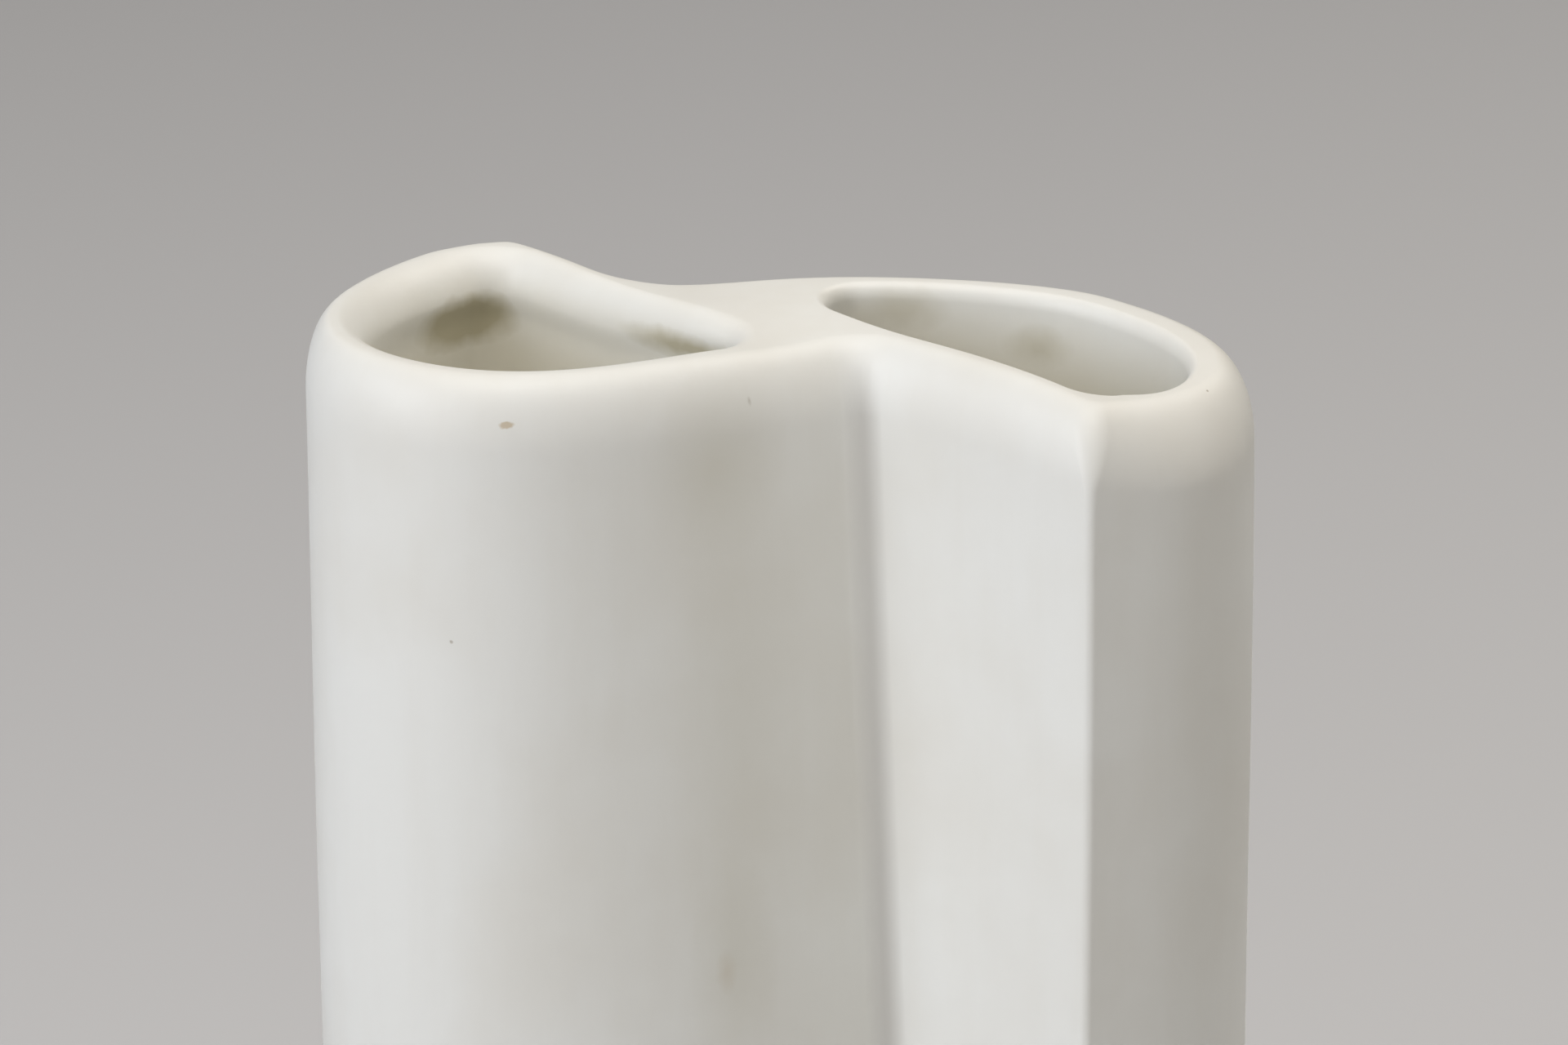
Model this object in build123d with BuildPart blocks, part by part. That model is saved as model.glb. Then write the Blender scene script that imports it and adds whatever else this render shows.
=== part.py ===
"""Twin-chamber stoneware vase: two half-oval tubes standing flat side to flat side.

The plan is an oval that has been cut along its middle and slid apart along the cut. Each half is a tube
of its own: a curved wall, a flat divider along the cut and a base. The two dividers are luted together
with slip where they overlap, and a roll of clay fills the crease at each end of the overlap.
Millimetres, +Z up, standing on Z = 0. The cut lies along Y, with the left tube on its -X side.
"""

import os
from dataclasses import dataclass
from math import atan2, hypot, sin, tan, pi

from build123d import *

os.makedirs("parts", exist_ok=True)

# Overall sizes
height = 190.0
left_length = 61.0  # along the cut, at the mouth
left_depth = 45.8  # from the cut to the crown of the curve, at the mouth
right_length = 75.7
right_depth = 33.5
overlap = 35.5  # length of cut that the two tubes share at the mouth
joint_run = 9.0  # depth over which each curved wall runs straight into the crease
left_corner_setback = 3.7  # the free corner lies this far back from the free side
right_corner_setback = 5.5

# Flare of the tubes from mouth to foot
joint_flare = 10.0  # each tube's end at the crease runs on this much further at the foot
right_free_flare = 2.0  # the right tube's free side stands out this much at the foot
right_depth_flare = 3.5  # the right tube's crown stands out this much at the foot
left_depth_taper = 1.5  # the left tube's crown draws in this much at the foot

# Thicknesses of the clay
wall = 7.4
divider = 6.1
slip = 0.6
base = 9.0

# Roundings
front_crease_radius = 5.0
back_crease_radius = 16.0
corner_radius = 2.6
chamber_corner_radius = 4.5
chamber_corner_share = 0.4  # of the free corner's setback and slope
rim_outer_share = 0.55  # of the wall
rim_inner_share = 0.34  # of the wall

# Foot
foot_width = 8.0
foot_recess = 2.0
foot_edge_radius = 1.5

# How near an edge lies to the place where it is looked for
pick_margin = 0.2


@dataclass
class Lobe:
    """One half of the plan, measured n outwards from the cut and q along it from the free side."""

    side: int
    length: float
    depth: float
    free_y: float
    free_flare: float
    depth_flare: float
    corner_setback: float
    corner_slope: float
    corner_handle_share: float
    side_share: float
    side_near_handle_share: float
    side_far_handle_share: float
    crown_share: float
    crown_free_handle_share: float
    crown_joint_handle_share: float
    joint_handle_share: float
    joint_slope: float
    crease_radius: float


total_length = left_length + right_length - overlap + right_free_flare
total_width = left_depth + right_depth + right_depth_flare
joint_x = left_depth - total_width / 2

left = Lobe(
    side=-1,
    length=left_length,
    depth=left_depth,
    free_y=total_length / 2,
    free_flare=0,
    depth_flare=-left_depth_taper,
    corner_setback=left_corner_setback,
    corner_slope=0.48,
    corner_handle_share=0.38,
    side_share=0.26,
    side_near_handle_share=0.30,
    side_far_handle_share=0.53,
    crown_share=0.42,
    crown_free_handle_share=0.64,
    crown_joint_handle_share=0.58,
    joint_handle_share=0.49,
    joint_slope=0.29,
    crease_radius=front_crease_radius,
)
right = Lobe(
    side=1,
    length=right_length,
    depth=right_depth,
    free_y=right_free_flare - total_length / 2,
    free_flare=right_free_flare,
    depth_flare=right_depth_flare,
    corner_setback=right_corner_setback,
    corner_slope=0.42,
    corner_handle_share=0.36,
    side_share=0.50,
    side_near_handle_share=0.34,
    side_far_handle_share=0.63,
    crown_share=0.38,
    crown_free_handle_share=0.69,
    crown_joint_handle_share=0.33,
    joint_handle_share=0.37,
    joint_slope=0.96,
    crease_radius=back_crease_radius,
)


def place(lobe, n, q):
    """A plan point of a lobe in the vase's own X and Y."""
    return (joint_x + lobe.side * n, lobe.free_y + lobe.side * q)


def joint_end(lobe, level):
    """How far along the cut a lobe reaches at one level."""
    return lobe.length + joint_flare * (1 - level / height)


def section(lobe, level, inset, joint_inset, corner_share):
    """The eleven control points of a lobe's outline at one level.

    The outline slants from the free corner to the free side, turns at the crown and runs straight into
    the cut. It is drawn in by the two insets, and its corner keeps a share of its setback and slope.
    """
    drop_share = 1 - level / height
    free_q = inset - lobe.free_flare * drop_share
    joint_q = joint_end(lobe, level) - inset * hypot(1, lobe.joint_slope) - joint_inset * lobe.joint_slope
    crown_n = lobe.depth + lobe.depth_flare * drop_share - inset
    crown_q = lobe.length * lobe.crown_share
    corner_q = free_q + corner_share * lobe.corner_setback
    side_reach = lobe.side_share * (crown_n - joint_inset)
    side_n = joint_inset + side_reach
    corner_handle = lobe.corner_handle_share * side_reach
    run_n = joint_inset + joint_run
    run_q = joint_q - lobe.joint_slope * joint_run
    joint_handle = lobe.joint_handle_share * (crown_n - run_n)
    points = (
        (joint_inset, corner_q),
        (joint_inset + corner_handle, corner_q - corner_share * lobe.corner_slope * corner_handle),
        (side_n - lobe.side_near_handle_share * side_reach, free_q),
        (side_n, free_q),
        (side_n + lobe.side_far_handle_share * (crown_n - side_n), free_q),
        (crown_n, crown_q - lobe.crown_free_handle_share * (crown_q - free_q)),
        (crown_n, crown_q),
        (crown_n, crown_q + lobe.crown_joint_handle_share * (run_q - crown_q)),
        (run_n + joint_handle, run_q - lobe.joint_slope * joint_handle),
        (run_n, run_q),
        (joint_inset, joint_q),
    )
    return [place(lobe, n, q) for n, q in points]


def tube_solid(lobe, low, high, inset, joint_inset, corner_share):
    """A lobe's outline lofted from one level to another."""
    with BuildPart() as tube:
        for level in (low, high):
            points = section(lobe, level, inset, joint_inset, corner_share)
            with BuildSketch(Plane.XY.offset(level)):
                with BuildLine():
                    Bezier(*points[:4])
                    Bezier(*points[3:7])
                    Bezier(*points[6:10])
                    Polyline(points[9], points[10], points[0])
                make_face()
        loft(ruled=True)
    return tube.part


def uprights_at(part, x):
    """A part's upright edges at one distance from the cut, from front to back."""
    tall = part.edges().filter_by(lambda edge: edge.bounding_box().size.Z > (height - base) / 2)
    return tall.filter_by_position(Axis.X, x - pick_margin, x + pick_margin).sort_by(Axis.Y)


def chamber_solid(lobe):
    """The hollow of one tube, with the two corners beside the divider rounded."""
    with BuildPart() as chamber:
        add(tube_solid(lobe, base, height, wall, divider, chamber_corner_share))
        fillet(uprights_at(chamber, joint_x + lobe.side * divider), chamber_corner_radius)
    return chamber.part


def crease_line(lobe):
    """The lowest point of the line where a lobe ends on the cut, and the way up to its highest."""
    foot = Vector(*place(lobe, 0, joint_end(lobe, 0)), 0)
    mouth = Vector(*place(lobe, 0, joint_end(lobe, height)), height)
    return foot, mouth - foot


def crease_roll(lobe):
    """The roll of clay in a lobe's crease: a wedge hollowed by a circle that touches both walls."""
    foot, rise = crease_line(lobe)
    half_angle = pi / 4 + atan2(lobe.joint_slope, 1) / 2
    reach = lobe.crease_radius / tan(half_angle)
    bend = 2 * half_angle
    on_cut = place(lobe, 0, joint_end(lobe, 0) + reach)
    on_wall = place(lobe, reach * sin(bend), joint_end(lobe, 0) + reach * sin(pi / 2 - bend))
    hub = place(lobe, lobe.crease_radius, joint_end(lobe, 0) + reach)
    with BuildPart() as roll:
        with BuildSketch():
            with BuildLine():
                Polyline((foot.X, foot.Y), on_cut, hub, on_wall, close=True)
            make_face()
            with Locations(hub):
                Circle(lobe.crease_radius, mode=Mode.SUBTRACT)
        extrude(amount=rise.length, dir=rise)
    return roll.part


def joint_face(lobe):
    """The plane of a lobe's straight run into the crease, facing away from the lobe."""
    foot, rise = crease_line(lobe)
    along = Vector(lobe.side, -lobe.side * lobe.joint_slope, 0)
    return Plane(foot, x_dir=along, z_dir=rise.cross(along))


# The whole vase as it leaves the kiln, before it is divided into its clay members
with BuildPart() as vase:
    for lobe in (left, right):
        add(tube_solid(lobe, 0, height, 0, 0, 1))
    for lobe in (left, right):
        add(crease_roll(lobe))
    corners = uprights_at(vase, joint_x)
    fillet((corners[0], corners[-1]), corner_radius)
    outer_rim = vase.faces().sort_by(Axis.Z)[-1].edges()
    fillet(outer_rim, rim_outer_share * wall)
    outer_foot = vase.faces().sort_by(Axis.Z)[0].edges()
    fillet(outer_foot, foot_edge_radius)
    for lobe in (left, right):
        add(chamber_solid(lobe), mode=Mode.SUBTRACT)
    rim = vase.faces().filter_by(Axis.Z).sort_by(Axis.Z)[-1]
    inner_rims = [edge for wire in rim.inner_wires() for edge in wire.edges()]
    fillet(inner_rims, rim_inner_share * wall)
    for lobe in (left, right):
        recess = tube_solid(lobe, 0, foot_recess, foot_width, foot_width, chamber_corner_share)
        add(recess, mode=Mode.SUBTRACT)

cut_face = Plane((joint_x, 0, 0), z_dir=(1, 0, 0))
base_face = Plane.XY.offset(base)

# The layer of slip that lutes the two dividers together, from crease to crease
with BuildPart() as divider_slip:
    add(vase.part)
    split(bisect_by=cut_face.offset(slip / 2), keep=Keep.BOTTOM)
    split(bisect_by=cut_face.offset(-slip / 2), keep=Keep.TOP)
    split(bisect_by=joint_face(left), keep=Keep.BOTTOM)
    split(bisect_by=joint_face(right), keep=Keep.BOTTOM)
divider_slip.part.label = "divider_slip"
export_step(divider_slip.part, "parts/divider_slip.step")

# The roll of clay in each tube's crease, and the tube's three clay members
for name, lobe, crease in (("left", left, "front"), ("right", right, "back")):
    own_side = Keep.TOP if lobe.side > 0 else Keep.BOTTOM
    divider_face = cut_face.offset(lobe.side * divider)
    run_face = cut_face.offset(lobe.side * joint_run)
    cut_side = Keep.BOTTOM if lobe.side > 0 else Keep.TOP

    with BuildPart() as crease_fillet:
        add(vase.part)
        split(bisect_by=cut_face, keep=own_side)
        split(bisect_by=run_face, keep=cut_side)
        split(bisect_by=joint_face(lobe), keep=Keep.TOP)
        add(divider_slip.part, mode=Mode.SUBTRACT)
    crease_fillet.part.label = f"{crease}_crease_fillet"
    export_step(crease_fillet.part, f"parts/{crease}_crease_fillet.step")

    with BuildPart() as tube_wall:
        add(vase.part)
        split(bisect_by=divider_face, keep=own_side)
        split(bisect_by=base_face, keep=Keep.TOP)
        add(crease_fillet.part, mode=Mode.SUBTRACT)
    tube_wall.part.label = f"{name}_wall"
    export_step(tube_wall.part, f"parts/{name}_wall.step")

    with BuildPart() as tube_divider:
        add(vase.part)
        split(bisect_by=cut_face, keep=own_side)
        split(bisect_by=divider_face, keep=cut_side)
        split(bisect_by=base_face, keep=Keep.TOP)
        add((crease_fillet.part, divider_slip.part), mode=Mode.SUBTRACT)
    tube_divider.part.label = f"{name}_divider"
    export_step(tube_divider.part, f"parts/{name}_divider.step")

    with BuildPart() as tube_base:
        add(vase.part)
        split(bisect_by=cut_face, keep=own_side)
        split(bisect_by=base_face, keep=Keep.BOTTOM)
        add((crease_fillet.part, divider_slip.part), mode=Mode.SUBTRACT)
    tube_base.part.label = f"{name}_base"
    export_step(tube_base.part, f"parts/{name}_base.step")
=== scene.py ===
"""A twin-chamber stoneware vase under a satin white glaze, on a plain studio floor.

The vase is one smooth skin worked out from its plan: two half ovals standing flat side to flat side and
slid apart along the cut. The skin is then parted along the joints of the clay members, so that each wall,
divider, base and crease roll is a closed piece of its own.
"""

from math import atan2, cos, hypot, pi, radians, sin, tan

import bmesh
import bpy
import numpy as np
from bpy.props import FloatProperty, FloatVectorProperty, PointerProperty, StringProperty
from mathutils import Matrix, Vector
from mathutils.geometry import delaunay_2d_cdt, tessellate_polygon


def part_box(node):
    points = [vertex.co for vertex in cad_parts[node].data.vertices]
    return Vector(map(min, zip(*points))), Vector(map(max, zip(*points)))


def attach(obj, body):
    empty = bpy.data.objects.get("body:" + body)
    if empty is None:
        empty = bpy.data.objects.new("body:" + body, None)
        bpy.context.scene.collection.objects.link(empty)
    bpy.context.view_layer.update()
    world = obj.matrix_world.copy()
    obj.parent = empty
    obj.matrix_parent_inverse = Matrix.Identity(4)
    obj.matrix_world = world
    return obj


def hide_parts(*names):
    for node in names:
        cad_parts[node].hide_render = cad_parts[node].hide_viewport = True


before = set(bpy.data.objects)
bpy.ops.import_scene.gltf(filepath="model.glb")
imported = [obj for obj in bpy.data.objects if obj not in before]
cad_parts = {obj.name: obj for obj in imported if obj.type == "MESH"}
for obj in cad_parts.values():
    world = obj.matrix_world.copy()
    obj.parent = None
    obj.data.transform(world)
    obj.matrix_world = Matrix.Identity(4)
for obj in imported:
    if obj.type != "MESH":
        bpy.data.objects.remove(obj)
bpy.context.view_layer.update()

bl_info = {
    "name": "Twin-chamber vase",
    "version": (1, 0, 0),
    "blender": (4, 5, 0),
    "location": "View3D > Sidebar > Vase",
    "description": "Builds a slab-built stoneware vase of two half-oval tubes",
    "category": "Add Mesh",
}

LEFT_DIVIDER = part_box("left_divider")
RIGHT_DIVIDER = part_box("right_divider")
LEFT_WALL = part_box("left_wall")
RIGHT_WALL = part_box("right_wall")


# Sizes and colours that a user would change

class VaseSizes(bpy.types.PropertyGroup):
    """Sizes of the vase, in metres."""

    height: FloatProperty(
        name="Height", description="Foot to rim", default=LEFT_WALL[1][2], unit="LENGTH")
    joint_x: FloatProperty(
        name="Cut", description="Where the cut between the tubes lies on X",
        default=RIGHT_DIVIDER[0][0], unit="LENGTH")
    left_free_y: FloatProperty(
        name="Left free side", description="Where the left tube's free side lies on Y",
        default=LEFT_WALL[1][1], unit="LENGTH")
    right_free_y: FloatProperty(
        name="Right free side", description="Where the right tube's free side lies on Y at the mouth",
        default=RIGHT_WALL[0][1] + 0.0019, unit="LENGTH")
    left_depth: FloatProperty(
        name="Left depth", description="Cut to the crown of the left curve, at the mouth",
        default=0.0458, unit="LENGTH")
    right_depth: FloatProperty(
        name="Right depth", description="Cut to the crown of the right curve, at the mouth",
        default=0.0335, unit="LENGTH")
    left_length: FloatProperty(
        name="Left length", description="Along the cut, at the mouth", default=0.0610, unit="LENGTH")
    right_length: FloatProperty(
        name="Right length", description="Along the cut, at the mouth", default=0.0757, unit="LENGTH")
    joint_run: FloatProperty(
        name="Straight run", description="Depth over which a curved wall runs straight into the crease",
        default=0.009, unit="LENGTH")
    joint_flare: FloatProperty(
        name="Crease flare", description="How much further a tube's crease end runs on at the foot",
        default=0.010, unit="LENGTH")
    right_free_flare: FloatProperty(
        name="Free side flare", description="How far the right tube's free side stands out at the foot",
        default=0.002, unit="LENGTH")
    left_depth_flare: FloatProperty(
        name="Left crown flare", description="How far the left crown stands out at the foot",
        default=-0.0015, unit="LENGTH")
    right_depth_flare: FloatProperty(
        name="Right crown flare", description="How far the right crown stands out at the foot",
        default=0.0035, unit="LENGTH")
    left_setback: FloatProperty(
        name="Left corner setback", description="How far the left free corner lies back from the free side",
        default=0.0037, unit="LENGTH")
    right_setback: FloatProperty(
        name="Right corner setback", description="How far the right free corner lies back from the free side",
        default=0.0055, unit="LENGTH")
    left_wall: FloatProperty(
        name="Left wall", description="Thickness of the left curved wall", default=0.0076, unit="LENGTH")
    right_wall: FloatProperty(
        name="Right wall", description="Thickness of the right curved wall", default=0.0072, unit="LENGTH")
    divider: FloatProperty(
        name="Divider", description="Thickness of a flat divider",
        default=LEFT_DIVIDER[1][0] - LEFT_DIVIDER[0][0], unit="LENGTH")
    base: FloatProperty(
        name="Base", description="Thickness of a base", default=LEFT_WALL[0][2], unit="LENGTH")
    front_crease_radius: FloatProperty(
        name="Front crease", description="Radius of the front crease", default=0.0040, unit="LENGTH")
    back_crease_radius: FloatProperty(
        name="Back crease", description="Radius of the back crease", default=0.012, unit="LENGTH")
    left_corner_radius: FloatProperty(
        name="Left corner", description="Radius of the left free corner down the body",
        default=0.0020, unit="LENGTH")
    right_corner_radius: FloatProperty(
        name="Right corner", description="Radius of the right free corner down the body",
        default=0.0013, unit="LENGTH")
    left_mouth_radius: FloatProperty(
        name="Left mouth corner", description="Radius of the left free corner at the rim",
        default=0.0060, unit="LENGTH")
    right_mouth_radius: FloatProperty(
        name="Right mouth corner", description="Radius of the right free corner at the rim",
        default=0.0060, unit="LENGTH")
    corner_fade: FloatProperty(
        name="Corner fade", description="Height over which the rim's corner sharpens",
        default=0.010, unit="LENGTH")
    chamber_radius: FloatProperty(
        name="Chamber corner", description="Radius of a chamber's free corner", default=0.0042, unit="LENGTH")
    tip_radius: FloatProperty(
        name="Chamber tip", description="Radius of a chamber's narrow end", default=0.0045, unit="LENGTH")
    tip_bend: FloatProperty(
        name="Tip bend", description="How far the right divider thickens towards the chamber's narrow end",
        default=0.0020, unit="LENGTH")
    shoulder_width: FloatProperty(
        name="Shoulder width", description="Outer rounding of the rim, across", default=0.0042, unit="LENGTH")
    shoulder_drop: FloatProperty(
        name="Shoulder drop", description="Outer rounding of the rim, down", default=0.0085, unit="LENGTH")
    shoulder_sag: FloatProperty(
        name="Shoulder sag",
        description="How much further down the shoulder reaches at the right free corner",
        default=0.0012, unit="LENGTH")
    shoulder_swell: FloatProperty(
        name="Shoulder swell",
        description="How much further in the shoulder reaches at the right free corner",
        default=0.0018, unit="LENGTH")
    back_lip: FloatProperty(
        name="Back lip", description="How much wider the left mouth's lip is at the back",
        default=0.0016, unit="LENGTH")
    left_lip_width: FloatProperty(
        name="Left lip width", description="Rounding of the left mouth, across",
        default=0.0027, unit="LENGTH")
    left_lip_drop: FloatProperty(
        name="Left lip drop", description="Rounding of the left mouth, down", default=0.0050, unit="LENGTH")
    lip_loss: FloatProperty(
        name="Lip loss", description="Share of its drop that the left lip loses towards the front",
        default=0.5, subtype="FACTOR")
    right_lip_width: FloatProperty(
        name="Right lip width", description="Rounding of the right mouth, across",
        default=0.0013, unit="LENGTH")
    right_lip_drop: FloatProperty(
        name="Right lip drop", description="Rounding of the right mouth, down", default=0.0020, unit="LENGTH")
    undercut: FloatProperty(
        name="Undercut", description="How far the left chamber hollows out under its lip",
        default=0.0005, unit="LENGTH")
    rim_dip: FloatProperty(
        name="Rim dip", description="How far the rim sinks beside the back crease",
        default=0.0009, unit="LENGTH")
    front_dip: FloatProperty(
        name="Front dip", description="How far the rim sinks at the front crease",
        default=0.0010, unit="LENGTH")
    back_dip: FloatProperty(
        name="Back dip", description="How far the rim sinks at the back of the left mouth",
        default=0.0004, unit="LENGTH")
    corner_dip: FloatProperty(
        name="Corner dip", description="How far the rim sinks at the right free corner",
        default=0.0022, unit="LENGTH")
    floor_cove: FloatProperty(
        name="Floor cove", description="Rounding where a chamber's wall meets its floor",
        default=0.0040, unit="LENGTH")
    foot_width: FloatProperty(
        name="Foot width", description="Width of the ring that the vase stands on",
        default=0.008, unit="LENGTH")
    foot_recess: FloatProperty(
        name="Foot recess", description="Depth of the hollow under each base", default=0.002, unit="LENGTH")
    foot_rounding: FloatProperty(
        name="Foot rounding", description="Rounding of the foot's outer edge", default=0.0015, unit="LENGTH")
    waviness: FloatProperty(
        name="Waviness", description="How far the hand-smoothed clay strays", default=0.00015, unit="LENGTH")


class VaseColours(bpy.types.PropertyGroup):
    """Colours of the vase and its stage, as sRGB hex values."""

    glaze: StringProperty(name="Glaze", description="Satin white glaze", default="EAEAE5")
    glaze_cloud: StringProperty(name="Cloud", description="Faint warm grey clouding", default="E0DDD4")
    # Painted warm shade down in the chambers
    chamber_shade: StringProperty(name="Chamber shade", description="Painted warm shade down in the chambers", default="E2DDCA")
    # Painted shade down the front crease
    crease_shade: StringProperty(name="Crease shade", description="Painted shade down the front crease", default="C6C4BE")
    # Painted olive shade in hollows and under the lip, and darker patches of the glaze
    shade_and_patches: StringProperty(name="Shade and patches", description="Olive painted shade in hollows and under the lip, and darker patches of the glaze", default="B9B297")
    speck: StringProperty(name="Speck", description="Iron specks", default="8A7A62")
    chip: StringProperty(name="Chip", description="Clay that shows in chips", default="C0AE90")
    clay: StringProperty(name="Clay", description="Bare stoneware of the foot", default="B79F7F")
    floor: StringProperty(name="Floor", description="Studio floor", default="C9C9CA")
    key_light: StringProperty(name="Key light", description="Cool white softbox", default="F2F6FF")
    fill_light: StringProperty(name="Fill light", description="Warm white softboxes", default="FFF9F1")


class VaseStage(bpy.types.PropertyGroup):
    """Camera and lights."""

    azimuth: FloatProperty(
        name="Azimuth", description="Camera's bearing", default=radians(43.0), subtype="ANGLE")
    elevation: FloatProperty(
        name="Elevation", description="Camera's pitch", default=radians(21.0), subtype="ANGLE")
    distance: FloatProperty(
        name="Distance", description="Camera to target", default=0.8075, unit="LENGTH")
    target: FloatVectorProperty(
        name="Target", description="Where the camera looks", default=(0.0010, -0.0008, 0.166),
        subtype="TRANSLATION")
    lens: FloatProperty(name="Lens", description="Focal length in mm", default=159.4)
    softbox_size: FloatProperty(
        name="Softbox size", description="Width of a round softbox", default=0.9, unit="LENGTH")
    softbox_distance: FloatProperty(
        name="Softbox distance", description="Softbox to target", default=1.4, unit="LENGTH")
    air: FloatProperty(name="Air", description="Strength of the even light from all round", default=0.08)


# Half the floor's width, in metres
FLOOR_HALF = 6.0
# Softboxes: bearing from the camera's side of the vase and height, in degrees, power in watts and colour
LAMPS = (
    ("key_softbox", -60, 20, 10.8, "key_light"),
    ("front_softbox", -20, 65, 8.9, "fill_light"),
    ("right_softbox", 50, 65, 3.5, "fill_light"),
    ("back_softbox", 120, 50, 7.6, "fill_light"),
)


# The plan of the vase

# Where the rim dips beside the front and the back crease, out from the cut and short of the lobe's end, and
# how far these dips spread, in metres
FRONT_CREASE_DIP, BACK_CREASE_DIP, DIP_SPREAD = (0.0045, 0.002), (0.0035, 0.002), 0.0086
# Where the rim dips at the right free corner, in the corner's setbacks, and how far that spreads, in metres
CORNER_PLACE, CORNER_SPREAD = (2.3, 0.2), 0.009
# Centre of the broad lip at the back of a mouth, as shares of the lobe's depth and length, and its spread, as
# a share of the depth
BACK_LIP_PLACE, BACK_LIP_SPREAD = (0.42, 0.06), 0.36


def eased(share):
    """A smooth step from 0 to 1."""
    share = np.clip(share, 0, 1)
    return share * share * (3 - 2 * share)


def bell(points, centre, spread):
    """A round bell of height 1 about a plan point."""
    return np.exp(-((points - centre) ** 2).sum(axis=-1) / (2 * spread ** 2))


# Shares that shape each half of the plan: slopes, the reach of each curve's handles, the free side's
# thickness against the wall's, and how much of the free corner's setback and slope the chamber keeps
LEFT_PLAN = {
    "slope": 0.29, "corner_slope": 0.48, "corner_handle": 0.38, "side": 0.26, "side_near": 0.30,
    "side_far": 0.53, "crown": 0.42, "crown_free": 0.64, "crown_joint": 0.58, "joint_handle": 0.49,
    "free_wall": 1.0, "corner_keep": 0.1,
}
RIGHT_PLAN = {
    "slope": 0.96, "corner_slope": 0.42, "corner_handle": 0.36, "side": 0.50, "side_near": 0.34,
    "side_far": 0.63, "crown": 0.38, "crown_free": 0.69, "crown_joint": 0.33, "joint_handle": 0.37,
    "free_wall": 1.02, "corner_keep": 0.55,
}
# How far past a corner's rounding the free side's first handle lies at least, against the rounding's reach
CORNER_LEAD = 1.3


class Lobe:
    """One half of the plan, measured n outwards from the cut and q along it from the free side."""

    def __init__(self, sizes, side):
        name = "left" if side < 0 else "right"
        self.side = side
        self.sizes = sizes
        self.plan = LEFT_PLAN if side < 0 else RIGHT_PLAN
        self.length = getattr(sizes, f"{name}_length")
        self.depth = getattr(sizes, f"{name}_depth")
        self.depth_flare = getattr(sizes, f"{name}_depth_flare")
        self.free_y = getattr(sizes, f"{name}_free_y")
        self.free_flare = 0.0 if side < 0 else sizes.right_free_flare
        self.setback = getattr(sizes, f"{name}_setback")
        self.wall = getattr(sizes, f"{name}_wall")
        self.tip_bend = 0.0 if side < 0 else sizes.tip_bend
        self.undercut = sizes.undercut if side < 0 else 0.0
        self.back_lip = sizes.back_lip if side < 0 else 0.0
        self.lip_width = getattr(sizes, f"{name}_lip_width")
        self.lip_drop = getattr(sizes, f"{name}_lip_drop")
        self.lip_loss = sizes.lip_loss if side < 0 else 0.0
        self.corner_radius = getattr(sizes, f"{name}_corner_radius")
        self.mouth_radius = getattr(sizes, f"{name}_mouth_radius")
        self.slope = self.plan["slope"]
        self.crease_radius = sizes.front_crease_radius if side < 0 else sizes.back_crease_radius

    def place(self, points):
        """Local n and q to the vase's X and Y: a shift, and a half turn for the left lobe."""
        origin = np.array((self.sizes.joint_x, self.free_y))
        return origin + self.side * points

    def joint_end(self, level):
        """How far along the cut the lobe reaches: it runs on evenly towards the foot."""
        return self.length + self.sizes.joint_flare * (1 - level / self.sizes.height)

    def corner_at(self, level):
        """Radius of the free corner: soft at the rim, crisper below the shoulder."""
        sizes = self.sizes
        share = eased((sizes.height - level) / sizes.corner_fade)
        return self.mouth_radius + (self.corner_radius - self.mouth_radius) * share


# A hair of clearance that keeps each tube's bare flat off the plane in which the tubes are parted
HAIR = 0.00005
# How far the chamber floors lie above the bases, how far the joints lie past the faces of bases and dividers,
# and how far the joints of the creases bite into the lobes
FLOOR_LIFT, JOINT_LIFT, CREASE_BITE = 2 * HAIR, 3 * HAIR, 8 * HAIR
# Points along each stretch of an outline
CORNER_STEPS, SIDE_STEPS, CURVE_STEPS, RUN_STEPS, CREASE_STEPS, FLAT_STEPS = 16, 24, 48, 10, 18, 36


def pair(n, q):
    """Local points from two arrays, stacked on a last axis."""
    n, q = np.broadcast_arrays(n, q)
    return np.stack((n, q), axis=-1)


def stretch(start, end, steps):
    """A straight stretch between two columns of points, without its last point."""
    share = np.linspace(0, 1, steps, endpoint=False)[None, :, None]
    return start[:, None] * (1 - share) + end[:, None] * share


def bezier(points, steps):
    """A cubic Bezier stretch for each level, without its last point."""
    share = np.linspace(0, 1, steps, endpoint=False)[None, :, None]
    p0, p1, p2, p3 = (point[:, None] for point in points)
    return ((1 - share) ** 3 * p0 + 3 * (1 - share) ** 2 * share * p1
            + 3 * (1 - share) * share ** 2 * p2 + share ** 3 * p3)


def arc(hub, radius, first, last, steps):
    """An arc about a hub for each level, without its last point."""
    angle = np.linspace(first, last, steps, endpoint=False)[None, :]
    radius = np.broadcast_to(radius, hub.shape[:1])[:, None]
    return hub[:, None] + pair(radius * np.cos(angle), radius * np.sin(angle))


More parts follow.
